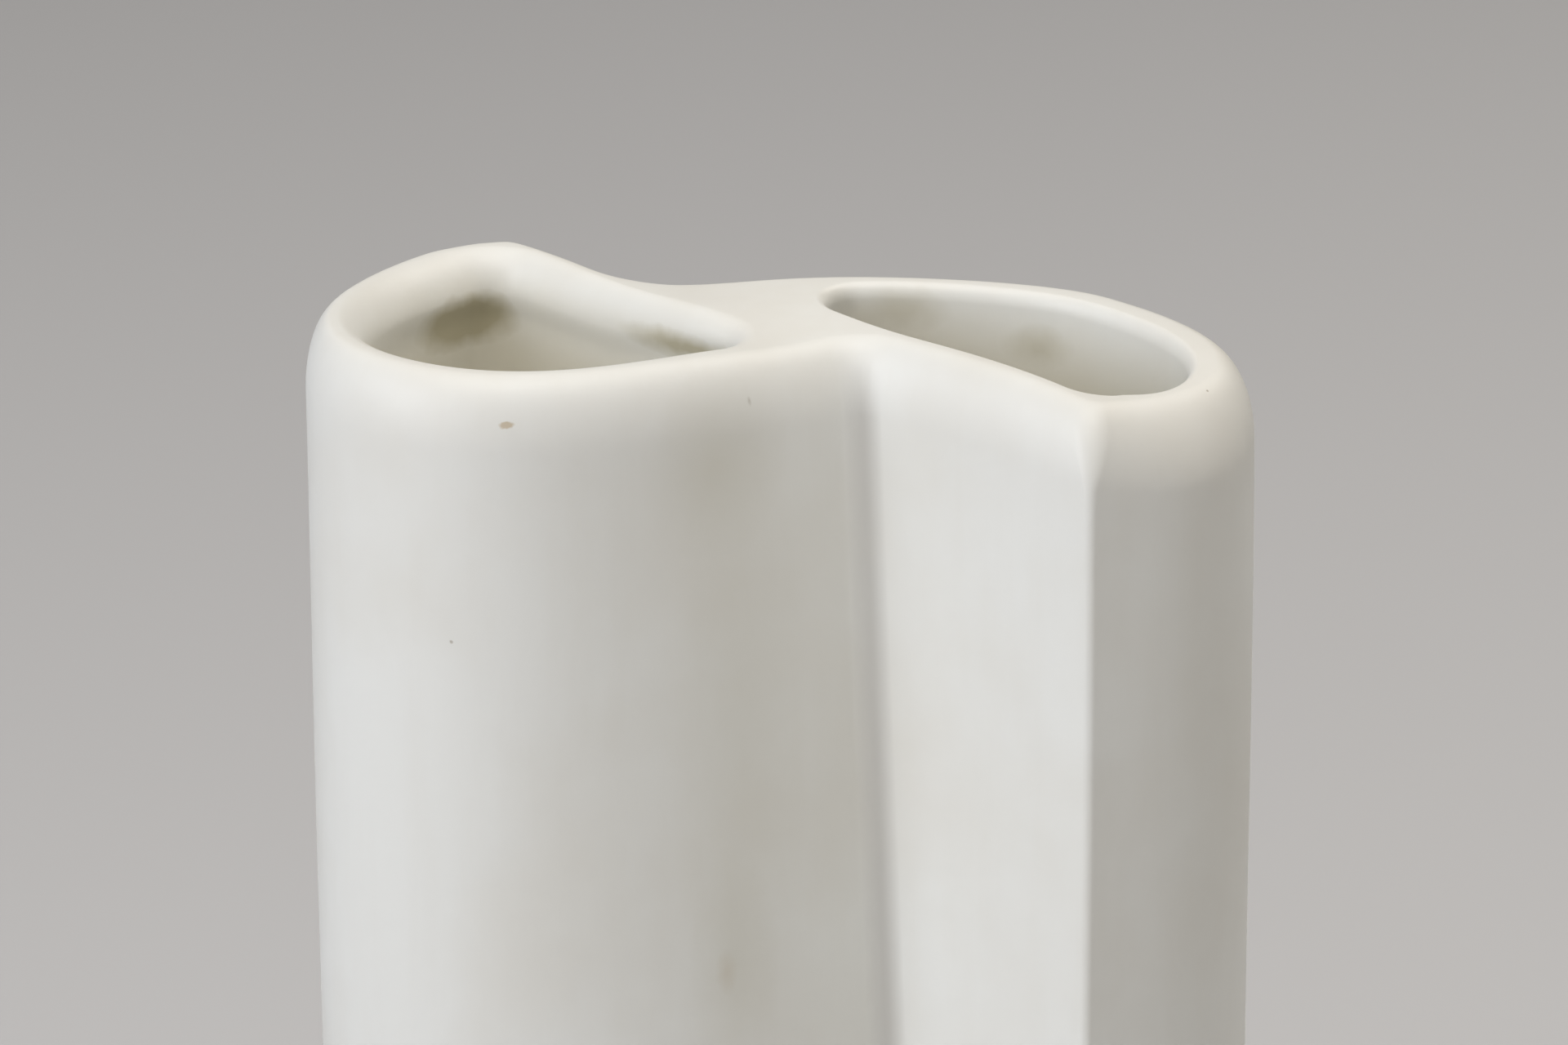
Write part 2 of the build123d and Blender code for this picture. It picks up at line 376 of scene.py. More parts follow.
def lobe_curve(lobe, level, inset, joint_inset, corner, corner_share):
    """A lobe's outline at each level, from the end of its flat to its straight run into the cut.

    A rounded corner turns from the flat into the free side, which slants out to its furthest point. A
    curve leads on to the crown, where it is parallel to the cut, and another to the straight run, which
    meets the cut at the lobe's slope. The insets draw the outline in from the wall and from the cut.
    Gives the outline, the end of the flat, the start of the run and the point where the run meets the cut.
    """
    plan = lobe.plan
    drop = 1 - level / lobe.sizes.height
    free_q = inset * plan["free_wall"] - lobe.free_flare * drop
    joint_q = lobe.joint_end(level) - inset * hypot(1, lobe.slope) - joint_inset * lobe.slope
    crown_n = lobe.depth + lobe.depth_flare * drop - inset
    crown_q = np.full_like(level, lobe.length * plan["crown"])
    side_reach = plan["side"] * (crown_n - joint_inset)
    side_n = joint_inset + side_reach
    run_n = joint_inset + lobe.sizes.joint_run
    run_q = joint_q - lobe.slope * lobe.sizes.joint_run
    joint_handle = plan["joint_handle"] * (crown_n - run_n)

    slant = corner_share * plan["corner_slope"]
    lean = atan2(slant, 1)
    reach = corner / tan(pi / 4 + lean / 2)
    point = pair(joint_inset, free_q + corner_share * lobe.setback)
    along = np.array((1, -slant))
    flat_end = point + pair(0, reach)
    side_start = point + reach[:, None] * along * cos(lean)
    side_handle = np.maximum(plan["corner_handle"] * side_reach, CORNER_LEAD * reach * cos(lean))
    crown = pair(crown_n, crown_q)
    run = pair(run_n, run_q)
    outline = np.concatenate((
        arc(flat_end + pair(corner, 0), corner, pi, 1.5 * pi - lean, CORNER_STEPS),
        bezier((
            side_start,
            point + side_handle[:, None] * along,
            pair(side_n - plan["side_near"] * side_reach, free_q),
            pair(side_n, free_q)), SIDE_STEPS),
        bezier((
            pair(side_n, free_q),
            pair(side_n + plan["side_far"] * (crown_n - side_n), free_q),
            pair(crown_n, crown_q - plan["crown_free"] * (crown_q - free_q)),
            crown), CURVE_STEPS),
        bezier((
            crown,
            pair(crown_n, crown_q + plan["crown_joint"] * (run_q - crown_q)),
            pair(run_n + joint_handle, run_q - lobe.slope * joint_handle),
            run), CURVE_STEPS)), axis=1)
    return outline, flat_end, run, pair(joint_inset, joint_q)


def outer_loop(sizes, level):
    """The vase's outline at each level: each lobe's curve, its crease arc and the other lobe's bare flat."""
    lobes = (Lobe(sizes, -1), Lobe(sizes, 1))
    curves = [lobe_curve(lobe, level, 0.0, HAIR, lobe.corner_at(level), 1.0) for lobe in lobes]
    loop = []
    for index, lobe in enumerate(lobes):
        other = lobes[1 - index]
        outline, _, run, joint = curves[index]
        other_flat_end = curves[1 - index][1]
        wedge = pair(-HAIR, joint[:, 1] + 2 * HAIR * lobe.slope)
        half_angle = pi / 4 + atan2(lobe.slope, 1) / 2
        reach = lobe.crease_radius / tan(half_angle)
        hub = wedge + np.array((lobe.crease_radius, reach))
        lean = atan2(1, lobe.slope)
        on_wall = hub - lobe.crease_radius * np.array((cos(lean), sin(lean)))
        on_flat = wedge + np.array((0, reach))
        loop.append(lobe.place(outline))
        loop.append(lobe.place(stretch(run, on_wall, RUN_STEPS)))
        loop.append(lobe.place(arc(hub, lobe.crease_radius, pi + lean, pi, CREASE_STEPS)))
        loop.append(stretch(lobe.place(on_flat), other.place(other_flat_end), FLAT_STEPS))
    return np.concatenate(loop, axis=1)


# Where a divider starts to thicken towards the chamber's tip and where it has the whole bend, along the lobe,
# and the share of the way at which the bend stops growing
BEND_START_SHARE, BEND_END_SHARE, BEND_MOST = 0.48, 0.84, 1.3


def chamber_loop(lobe, level, inset, joint_inset):
    """A chamber's outline at each level, with a rounded corner and tip, and a divider that bends at the tip.

    The bend moves points off the cut by the square of their share of the way to the tip, and fades out
    within two thicknesses of the divider's face.
    """
    radius = np.full_like(level, lobe.sizes.chamber_radius)
    keep = lobe.plan["corner_keep"]
    outline, flat_end, run, joint = lobe_curve(lobe, level, inset, joint_inset, radius, keep)
    tip = lobe.sizes.tip_radius
    lean = atan2(1, lobe.slope)
    reach = tip / tan(lean / 2)
    hub = joint + np.array((tip, -reach))
    on_wall = hub + tip * np.array((cos(lean), sin(lean)))
    on_flat = joint + np.array((0, -reach))
    loop = np.concatenate((
        outline,
        stretch(run, on_wall, RUN_STEPS),
        arc(hub, tip, lean, pi, CREASE_STEPS),
        stretch(on_flat, flat_end, FLAT_STEPS)), axis=1)
    along = (loop[..., 1] / lobe.length - BEND_START_SHARE) / (BEND_END_SHARE - BEND_START_SHARE)
    near = 1 - (loop[..., 0] - joint_inset) / (2 * joint_inset)
    loop[..., 0] += lobe.tip_bend * np.clip(along, 0, BEND_MOST) ** 2 * np.clip(near, 0, 1) ** 2
    return lobe.place(loop)


def drawn_in(loop, distance):
    """A loop at each level moved along its own inward normal by a distance for each level and point."""
    ahead = np.roll(loop, -1, axis=1) - loop
    ahead /= np.linalg.norm(ahead, axis=2, keepdims=True)
    along = ahead + np.roll(ahead, 1, axis=1)
    along /= np.linalg.norm(along, axis=2, keepdims=True)
    inward = np.stack((-along[..., 1], along[..., 0]), axis=-1)
    return loop + inward * distance[..., None]


def rings(loop, height):
    """Loops and the heights of their points as one stack of rings in space."""
    return np.concatenate((loop, height[..., None]), axis=2)


# The skin of the vase

# Levels of each rounding and of each wall
ROUND_STEPS, BODY_STEPS = 20, 70
# How much of the rim's width its inner rounding may take up, and what the two roundings leave of it
LIP_SHARE, CREST_WIDTH = 0.36, 0.0003
# What is added to the power of sine and cosine where a rounding flattens towards a bevel
BEVEL = 0.2
# How much of a corner's radius a rounding may take up, over how many points it is evened out, and the least
# turn at a point that counts as a corner, in radians
CORNER_SHARE, SMOOTHING_POINTS, LEAST_TURN = 0.92, 8, 1e-3
# Between which shares of the left lobe's length its lip loses drop
LIP_RUN = (0.4, 0.8)
# Heights over which the left chamber hollows out under its lip and comes back, in metres, and how deep into
# the chamber the hollow reaches from the divider, as a share
UNDERCUT_RISE, UNDERCUT_FADE = 0.0035, 0.030
HOLLOW_REACH = 0.6
# How strongly a chamber's rings crowd towards its mouth
BODY_CROWDING = 1.6
# Profile of the hollow under a base: shares of its depth, and of its rounding's width at each of them
RECESS_LEVELS, RECESS_INSETS = (0.0, 0.3, 0.6, 0.9, 1.0), (0.0, 0.05, 0.2, 0.5, 1.0)


def quarter():
    """Angles of a quarter round, from upright wall to level rim."""
    return np.linspace(0, pi / 2, ROUND_STEPS)


def smoothed(values):
    """A ring of values, each the least of its neighbours, then averaged under a bell-shaped weight."""
    weight = np.hanning(2 * SMOOTHING_POINTS + 3)[1:-1]
    shifts = np.arange(-SMOOTHING_POINTS, SMOOTHING_POINTS + 1)
    least = np.min([np.roll(values, shift) for shift in shifts], axis=0)
    return sum(share * np.roll(least, shift) for share, shift in zip(weight / weight.sum(), shifts))


def turning_radius(loop):
    """Radius of the bend at each point of a loop, or a large one where it is straight or hollow."""
    ahead = np.roll(loop, -1, axis=0) - loop
    behind = np.roll(ahead, 1, axis=0)
    turn = np.arctan2(behind[:, 0] * ahead[:, 1] - behind[:, 1] * ahead[:, 0], (behind * ahead).sum(axis=1))
    reach = (np.linalg.norm(ahead, axis=1) + np.linalg.norm(behind, axis=1)) / 2
    return reach / np.maximum(turn, LEAST_TURN)


def rounding_within(loop, width):
    """A rounding's width round a loop, kept small enough to turn each of the loop's corners."""
    return smoothed(np.minimum(width, CORNER_SHARE * turning_radius(loop)))


def nearest(points, others):
    """Distance from each point to the nearest of the others."""
    return np.linalg.norm(points[:, None] - others[None], axis=2).min(axis=1)


def crown_share(loop, lobe):
    """How far each point of a mouth belongs to the curved wall's crown rather than the divider."""
    away = (loop[:, 0] - lobe.sizes.joint_x) * lobe.side - lobe.sizes.divider
    return smoothed(eased(away / (lobe.depth - lobe.wall - lobe.sizes.divider) / HOLLOW_REACH))


def back_share(loop, lobe):
    """How far each point of a mouth belongs to the broad lip at the back of the curved wall."""
    centre = lobe.place(np.array(BACK_LIP_PLACE) * (lobe.depth, lobe.length))
    return bell(loop, centre, BACK_LIP_SPREAD * lobe.depth)


def bevelled(share, flattening):
    """Sine or cosine shares of a quarter round raised to a power, which flattens the round to a bevel."""
    return np.maximum(share, 0)[:, None] ** (1 + BEVEL * flattening)


def rim_roundings(sizes):
    """Width of the rim's rounding round the outside and round each mouth, from the rim's own width."""
    level = np.array((sizes.height,))
    outside = outer_loop(sizes, level)[0]
    lobes = (Lobe(sizes, -1), Lobe(sizes, 1))
    mouths = [chamber_loop(lobe, level, lobe.wall, sizes.divider)[0] for lobe in lobes]
    lips = []
    for lobe, mouth, other in zip(lobes, mouths, mouths[::-1]):
        room = LIP_SHARE * nearest(mouth, np.concatenate((outside, other)))
        lips.append(smoothed(np.minimum(lobe.lip_width, room)) + lobe.back_lip * back_share(mouth, lobe))
    gap = np.linalg.norm(outside[:, None] - np.concatenate(mouths)[None], axis=2) - np.concatenate(lips)
    width = sizes.shoulder_width + sizes.shoulder_swell * bell(outside, right_corner(sizes), CORNER_SPREAD)
    shoulder = np.minimum(width, gap.min(axis=1) - CREST_WIDTH)
    return rounding_within(outside, shoulder), lips


def outer_rings(sizes, shoulder):
    """The outside, from the foot's underside up over the shoulder to the crest of the rim.

    The foot's edge is a quarter circle and the shoulder a quarter ellipse, both drawn in along the
    outline's normal: in by width (1 - cos a) while the height is short of the top by drop (1 - sin a).
    Towards the right free corner the shoulder's drop grows, and the sine and cosine are raised to a power
    that flattens it to a bevel.
    """
    angle = quarter()
    foot_level = sizes.foot_rounding * (1 - np.sin(angle[::-1]))
    body_share = np.linspace(0, 1, BODY_STEPS)[1:-1]
    body_level = sizes.foot_rounding + (sizes.height - sizes.shoulder_drop - sizes.foot_rounding) * body_share
    rim_level = sizes.height - sizes.shoulder_drop * (1 - np.sin(angle))
    loop = outer_loop(sizes, np.concatenate((foot_level, body_level, rim_level)))
    foot = rounding_within(loop[0], sizes.foot_rounding)
    corner = bell(loop[-1], right_corner(sizes), CORNER_SPREAD)
    inset = np.concatenate((
        np.outer(1 - np.cos(angle[::-1]), foot), np.zeros((len(body_level), len(foot))),
        (1 - bevelled(np.cos(angle), corner)) * shoulder))
    drop = sizes.shoulder_drop + sizes.shoulder_sag * corner
    even = np.ones_like(drop)
    height = np.concatenate((
        np.outer(foot_level, even),
        sizes.foot_rounding + np.outer(body_share, sizes.height - drop - sizes.foot_rounding),
        sizes.height - (1 - bevelled(np.sin(angle), corner)) * drop))
    return rings(drawn_in(loop, inset), height)


def right_corner(sizes):
    """The plan point about which the rim sinks and its shoulder sags, beside the right free corner."""
    lobe = Lobe(sizes, 1)
    return lobe.place(lobe.setback * np.array(CORNER_PLACE))


def floor_level(sizes):
    """The chamber floors, a hair above the base's joint with the walls."""
    return sizes.base + FLOOR_LIFT


def chamber_rings(sizes, lobe, lip):
    """A chamber, from the crest of the rim down over the lip, the wall and the cove to its floor.

    The lip is a quarter ellipse like the shoulder, flattened to a bevel at the back of the left mouth and
    lower towards its front. Under it the left chamber hollows out: outwards by an eased rise just under the
    lip, which eases back to nothing further down.
    """
    angle = quarter()
    low = floor_level(sizes)
    top = sizes.height - lobe.lip_drop
    body_share = np.linspace(0, 1, BODY_STEPS)[1:-1] ** BODY_CROWDING
    body_level = top + (low + sizes.floor_cove - top) * body_share
    lip_level = sizes.height - lobe.lip_drop * (1 - np.sin(angle[::-1]))
    cove_level = low + sizes.floor_cove * (1 - np.sin(angle))
    loop = chamber_loop(lobe, np.concatenate((lip_level, body_level, cove_level)), lobe.wall, sizes.divider)
    cove = rounding_within(loop[-1], sizes.floor_cove)
    crown = crown_share(loop[0], lobe)
    back = back_share(loop[0], lobe) if lobe.back_lip else np.zeros(loop.shape[1])
    below = top - body_level
    hollow = eased(below / UNDERCUT_RISE) * (1 - eased((below - UNDERCUT_RISE) / UNDERCUT_FADE))
    inset = np.concatenate((
        (bevelled(np.cos(angle[::-1]), back) - 1) * lip,
        -lobe.undercut * np.outer(hollow, 1 - crown),
        np.outer(1 - np.cos(angle), cove)))
    along = np.abs(loop[0, :, 1] - lobe.place(np.zeros(2))[1]) / lobe.length
    drop = lobe.lip_drop * (1 - lobe.lip_loss * eased((along - LIP_RUN[0]) / (LIP_RUN[1] - LIP_RUN[0])))
    height = np.concatenate((
        sizes.height - drop * (1 - bevelled(np.sin(angle[::-1]), back)),
        sizes.height - drop + np.outer(body_share, low + sizes.floor_cove - sizes.height + drop),
        np.outer(cove_level, np.ones_like(drop))))
    return rings(drawn_in(loop, inset), height)


def recess_rings(sizes, lobe):
    """The shallow hollow under a base, from the foot ring up to its ceiling."""
    level = np.array(RECESS_LEVELS) * sizes.foot_recess
    loop = chamber_loop(lobe, level, sizes.foot_width, sizes.foot_width)
    inset = np.outer(RECESS_INSETS, rounding_within(loop[-1], sizes.foot_recess))
    return rings(drawn_in(loop, inset), np.outer(level, np.ones(loop.shape[1])))


# Spacing of the net of triangles on the rim, in metres, how near its points come to an edge, in spacings, and
# the distance at which two of them are one
WEB_SPACING, WEB_MARGIN, WEB_TOLERANCE = 0.0015, 0.7, 1e-9
# The attribute that carries the skin's smooth normals, and how near to a cut a vertex lies on it, in metres
NORMAL_LAYER, CUT_TOLERANCE = "skin_normal", 1e-7


class Skin:
    """Vertices and faces of a skin that is put together from stacks of rings and level fills."""

    def __init__(self):
        self.vertices = []
        self.faces = []
        self.inside = []
        self.count = 0

    def add(self, faces, inside):
        """Add faces of the outside or of a chamber."""
        self.faces.extend(faces.tolist())
        self.inside.extend([inside] * len(faces))

    def stack(self, ring_points, inside=False):
        """Add a stack of closed rings joined by quads, and return the first and last ring's indices."""
        levels, steps = ring_points.shape[:2]
        index = self.count + np.arange(levels * steps).reshape(levels, steps)
        ahead = np.roll(index, -1, axis=1)
        quads = np.stack((index[:-1], ahead[:-1], ahead[1:], index[1:]), axis=-1).reshape(-1, 4)
        self.vertices.append(ring_points.reshape(-1, 3))
        self.add(quads, inside)
        self.count += levels * steps
        return index[0], index[-1]

    def fill(self, loops, facing, inside=False):
        """Close the level space between an outer ring and any inner rings with triangles."""
        points = np.concatenate(self.vertices)
        index = np.concatenate(loops)
        outlines = [[Vector(point) for point in points[loop]] for loop in loops]
        triangles = index[np.array(tessellate_polygon(outlines))]
        a, b, c = (points[triangles[:, corner], :2] for corner in range(3))
        turn = (b[:, 0] - a[:, 0]) * (c[:, 1] - a[:, 1]) - (b[:, 1] - a[:, 1]) * (c[:, 0] - a[:, 0])
        wrong = turn * facing < 0
        triangles[wrong] = triangles[wrong][:, ::-1]
        self.add(triangles, inside)

    def web(self, loops, spacing):
        """Cover the level rim between the outside and the mouths with an even net of triangles."""
        points = np.concatenate(self.vertices)
        index = np.concatenate(loops)
        outline = points[index]
        ends = np.concatenate([np.roll(np.arange(len(loop)), -1) + start for loop, start in zip(
            loops, np.cumsum([0] + [len(loop) for loop in loops[:-1]]))])
        low, high = outline[:, :2].min(axis=0), outline[:, :2].max(axis=0)
        rows = np.arange(low[1], high[1], spacing * sin(pi / 3))
        x, y = np.meshgrid(np.arange(low[0], high[0], spacing), rows)
        x[1::2] += spacing / 2
        inner = np.stack((x.ravel(), y.ravel()), axis=1)
        inner = inner[self.between(inner, outline[:, :2], ends)]
        inner = inner[nearest(inner, outline[:, :2]) > WEB_MARGIN * spacing]
        flat = np.concatenate((outline[:, :2], inner))
        edges = np.stack((np.arange(len(ends)), ends), axis=1)
        result = delaunay_2d_cdt([Vector(p) for p in flat], edges.tolist(), [], 0, WEB_TOLERANCE)
        origin = np.array([source[0] for source in result[3]])
        triangles = origin[np.array(result[2])]
        middle = flat[triangles].mean(axis=1)
        triangles = triangles[self.between(middle, outline[:, :2], ends)]
        lookup = np.concatenate((index, self.count + np.arange(len(inner))))
        level = np.full((len(inner), 1), outline[0, 2])
        self.vertices.append(np.concatenate((inner, level), axis=1))
        self.count += len(inner)
        self.add(lookup[triangles], False)

    @staticmethod
    def between(places, outline, ends):
        """Which places lie inside the outside loop and outside the mouths: an odd count of crossings."""
        a, b = outline[None], outline[ends][None]
        x, y = places[:, None, 0], places[:, None, 1]
        crosses = (a[..., 1] > y) != (b[..., 1] > y)
        rise = np.where(crosses, b[..., 1] - a[..., 1], 1.0)
        ahead = x < a[..., 0] + (y - a[..., 1]) * (b[..., 0] - a[..., 0]) / rise
        return (crosses & ahead).sum(axis=1) % 2 == 1


def read(items, key, width=1, kind=np.int32):
    """One property of all items of a collection as an array, in rows where it is wider than one."""
    values = np.empty(len(items) * width, dtype=kind)
    items.foreach_get(key, values)
    return values.reshape(-1, width) if width > 1 else values


def skin_mesh(sizes):
    """The whole vase as one closed mesh, with its smooth normals kept on its vertices."""
    skin = Skin()
    shoulder, lips = rim_roundings(sizes)
    foot, crest = skin.stack(outer_rings(sizes, shoulder))
    crests, ends, hollows = [crest], [], [foot]
    for side, lip in zip((-1, 1), lips):
        lobe = Lobe(sizes, side)
        first, last = skin.stack(chamber_rings(sizes, lobe, lip), True)
        crests.append(first)
        ends.append((last, 1))
        first, last = skin.stack(recess_rings(sizes, lobe))
        hollows.append(first)
        ends.append((last, -1))
    skin.web(crests, WEB_SPACING)
    skin.fill(hollows, -1)
    for loop, facing in ends:
        skin.fill([loop], facing, facing > 0)
    mesh = bpy.data.meshes.new("vase_skin")
    mesh.from_pydata(np.concatenate(skin.vertices).tolist(), [], skin.faces)
    mesh.polygons.foreach_set("material_index", np.array(skin.inside, dtype=np.int32))
    layer = mesh.attributes.new(NORMAL_LAYER, "FLOAT_VECTOR", "POINT")
    layer.data.foreach_set("vector", read(mesh.vertex_normals, "vector", 3, np.float32).ravel())
    return mesh


# Parting the skin into clay members

def cut_plane(x, facing):
    """An upright plane along the cut at one X, facing along X."""
    return Vector((x, 0, 0)), Vector((facing, 0, 0))


def level_plane(z, facing):
    """A level plane, facing up or down."""
    return Vector((0, 0, z)), Vector((0, 0, facing))


def crease_plane(lobe):
    """The plane between a lobe and the roll in its crease, facing the roll.

    It runs from the line where the roll meets the wall to a line just inside the lobe at the cut.
    """
    half_angle = pi / 4 + atan2(lobe.slope, 1) / 2
    reach = lobe.crease_radius / tan(half_angle)
    lean = np.array((1, -lobe.slope)) / hypot(1, lobe.slope)
    bite = np.array((0, -CREASE_BITE))
    corners = []
    for level in (0.0, lobe.sizes.height):
        joint = np.array((0, lobe.joint_end(level)))
        corners.append(Vector((*lobe.place(joint + lean * reach), level)))
        corners.append(Vector((*lobe.place(joint + bite), level)))
    normal = (corners[1] - corners[0]).cross(corners[2] - corners[0]).normalized()
    outward = Vector((0, lobe.side, 0))
    return corners[0], normal if normal.dot(outward) > 0 else -normal


def flipped(plane):
    """The same plane facing the other way."""
    return plane[0], -plane[1]


# Heights, as shares of the vase, from which the waves and the rim's rise and fall set in
WAVE_SHARE, RIM_SHARE = 0.3, 0.8
# Waves: the axis they move, height against the waviness, radians per metre along each axis, and start
WAVES = (
    (0, 1.0, (0, 71, 23), 0.4), (0, 0.6, (0, -97, 53), 1.7),
    (1, 1.0, (83, 0, -31), 2.1), (1, 0.6, (88, 0, 47), 0.3),
    (2, 1.0, (41, 64, 0), 0.9), (2, 0.5, (-75, 118, 0), 2.6),
)


def settle(points, sizes):
    """How far the hand-smoothed clay strays at each point.

    Long low waves run on all three axes, and the rim dips beside the two creases, at the back of the left
    mouth and at the right free corner, each time as a round bell in plan that fades out down the wall.
    """
    plan, z = points[:, :2], points[:, 2]
    wave = np.zeros_like(points)
    for axis, height, turns, start in WAVES:
        wave[:, axis] += height * np.sin(points @ np.array(turns) + start)
    moved = sizes.waviness * wave * eased(z / (WAVE_SHARE * sizes.height))[:, None]
    left, right = Lobe(sizes, -1), Lobe(sizes, 1)
    dip = np.zeros_like(z)
    creases = ((right, sizes.rim_dip, BACK_CREASE_DIP), (left, sizes.front_dip, FRONT_CREASE_DIP))
    for lobe, depth, (out, short) in creases:
        dip += depth * bell(plan, lobe.place(np.array((out, lobe.length - short))), DIP_SPREAD)
    dip += sizes.back_dip * back_share(plan, left)
    dip += sizes.corner_dip * bell(plan, right_corner(sizes), CORNER_SPREAD)
    moved[:, 2] -= dip * eased((z / sizes.height - RIM_SHARE) / (1 - RIM_SHARE))
    return moved


def settled(points, normals, sizes):
    """Points moved by the clay's waves, and normals turned with them by the waves' slopes."""
    step = 0.0005
    moved = settle(points, sizes)
    slopes = np.stack(
        [(settle(points + step * axis, sizes) - moved) / step for axis in np.eye(3)], axis=2)
    turned = np.linalg.solve((np.eye(3) + slopes).transpose(0, 2, 1), normals[..., None])[..., 0]
    turned /= np.linalg.norm(turned, axis=1, keepdims=True)
    return points + moved, turned


def part_skin(name, skin, planes, sizes):
    """The part of the skin behind every plane, closed where it was cut, with the skin's own normals."""
    work = bmesh.new()
    work.from_mesh(skin)
    caps = work.faces.layers.int.new("cap")
    for point, normal in planes:
        everything = work.verts[:] + work.edges[:] + work.faces[:]
        result = bmesh.ops.bisect_plane(
            work, geom=everything, dist=CUT_TOLERANCE, plane_co=point, plane_no=normal, clear_outer=True)
        rim = [item for item in result["geom_cut"] if isinstance(item, bmesh.types.BMEdge)]
        rim = [edge for edge in rim if edge.is_valid and edge.is_boundary]
        filled = bmesh.ops.triangle_fill(work, use_beauty=True, edges=rim, normal=normal)
        for item in filled["geom"]:
            if isinstance(item, bmesh.types.BMFace):
                item[caps] = 1
                item.normal_update()
                if item.normal.dot(normal) < 0:
                    item.normal_flip()
    open_edges = sum(not edge.is_manifold for edge in work.edges)
    if open_edges:
        raise RuntimeError(f"{name} has {open_edges} open edges")
    mesh = bpy.data.meshes.new(name)
    work.to_mesh(mesh)
    work.free()
    finish_normals(mesh, sizes)
    piece = bpy.data.objects.new(name, mesh)
    bpy.context.collection.objects.link(piece)
    return piece


def finish_normals(mesh, sizes):
    """Settle the clay, then shade the skin with its smooth normals and the cut faces flat."""
    points = read(mesh.vertices, "co", 3, np.float32).astype(float)
    normals = read(mesh.attributes[NORMAL_LAYER].data, "vector", 3, np.float32).astype(float)
    points, normals = settled(points, normals, sizes)
    mesh.vertices.foreach_set("co", points.astype(np.float32).ravel())
    mesh.update()
    totals = read(mesh.polygons, "loop_total")
    polygon = np.repeat(np.arange(len(totals)), totals)
    cap = read(mesh.attributes["cap"].data, "value")[polygon] == 1
    flat = read(mesh.polygons, "normal", 3, np.float32)[polygon]
    corner_normals = np.where(cap[:, None], flat, normals[read(mesh.loops, "vertex_index")])
    mesh.polygons.foreach_set("use_smooth", np.ones(len(totals), dtype=bool))
    mesh.normals_split_custom_set(corner_normals.tolist())
    mesh.attributes.remove(mesh.attributes[NORMAL_LAYER])
    mesh.attributes.remove(mesh.attributes["cap"])


# Materials

def linear(hex_code):
    """An sRGB hex value as linear red, green, blue and alpha."""
    channels = np.array([int(hex_code[i:i + 2], 16) for i in (0, 2, 4)]) / 255
    low = channels / 12.92
    high = ((channels + 0.055) / 1.055) ** 2.4
    return (*np.where(channels <= 0.04045, low, high).tolist(), 1.0)


def add_node(tree, kind, output, inputs=None, **settings):
    """Add a node, set its properties, set or link its inputs, and give one of its outputs."""
    node = tree.nodes.new(kind)
    for key, value in settings.items():
        setattr(node, key, value)
    for key, value in (inputs or {}).items():
        if isinstance(value, bpy.types.NodeSocket):
            tree.links.new(value, node.inputs[key])
        else:
            node.inputs[key].default_value = value
    return None if output is None else node.outputs[output]


# Marks of making and use, and painted shade in hollows and under the lip: place and half-sizes in metres, the
# part of the size that is full, strength, colour
MARKS = (
    # Painted shade in the left chamber's back corner, and a painted shadow under the divider's lip towards
    # the front
    ((-0.0063, 0.0440, 0.1819), (0.0084, 0.0055, 0.0038), 0.55, 0.95, "shade_and_patches"),
    ((-0.0018, 0.0120, 0.1850), (0.0015, 0.0120, 0.0022), 0.25, 0.85, "shade_and_patches"),
    # Painted shade high in the right chamber, and a darker yellowish patch on its curved wall
    ((0.0213, -0.0010, 0.1870), (0.0060, 0.0060, 0.0030), 0.20, 0.40, "shade_and_patches"),
    ((0.0296, -0.0146, 0.1836), (0.0030, 0.0055, 0.0030), 0.20, 0.45, "shade_and_patches"),
    # Soft smudges down the left wall beside the crease
    ((-0.0140, -0.0040, 0.1780), (0.0100, 0.0070, 0.0120), 0.05, 0.24, "shade_and_patches"),
    ((-0.0120, -0.0060, 0.1450), (0.0095, 0.0070, 0.0480), 0.05, 0.14, "shade_and_patches"),
    ((-0.0144, -0.0073, 0.1170), (0.0060, 0.0060, 0.0150), 0.05, 0.20, "shade_and_patches"),
    # A chip on the left shoulder, a scratch beside the crease and a smear low on the left wall
    ((-0.0345, 0.0089, 0.1852), (0.0010, 0.0010, 0.0005), 0.60, 0.75, "chip"),
    ((-0.0093, -0.0051, 0.1850), (0.0003, 0.0004, 0.0009), 0.40, 0.30, "speck"),
    ((-0.0154, -0.0069, 0.1160), (0.0014, 0.0014, 0.0030), 0.20, 0.22, "chip"),
    # Single iron specks
    ((-0.0067, -0.0053, 0.1867), (0.0003, 0.0003, 0.0003), 0.50, 0.60, "speck"),
    ((-0.0387, 0.0141, 0.1586), (0.0003, 0.0003, 0.0003), 0.50, 0.50, "speck"),
    ((0.0228, -0.0460, 0.1877), (0.0002, 0.0002, 0.0002), 0.50, 0.60, "speck"),
)
# Painted shade down the front crease, which leans: the lean, a point on the line once it is turned upright,
# and the shade's half-width, in radians and metres
CREASE_SHADE_LEAN, CREASE_SHADE_PLACE, CREASE_SHADE_WIDTH = 0.0549, (0.0043, -0.0203, 0.0), 0.0026
# How far the edges of the marks stray at most, the half-size below which they stray finely, and the sizes of
# the coarse and the fine wobble, in metres
MARK_WOBBLE, MARK_FINE, WOBBLE_SIZES = 0.0009, 0.002, (0.003, 0.0009)
# Clouding of the glaze: its size in metres, how many times it is drawn out upwards, the noise at which it
# sets in and is full, and its strength then
CLOUDING = ((0.028, 1, 0.42, 0.72, 0.55), (0.004, 8, 0.45, 0.75, 0.16))
# Heights at which the painted warm shade in the chambers sets in and is full, in metres, and its strength
# then
CHAMBER_SHADE_LEVELS, CHAMBER_SHADE_STRENGTH = (0.188, 0.178), 0.6
# Heights between which the painted crease shade ends, in metres, its strength below them, and the half-width
# that is full
CREASE_SHADE_LEVELS, CREASE_SHADE_STRENGTH, CREASE_SHADE_CORE = (0.181, 0.187), 0.85, 0.0005
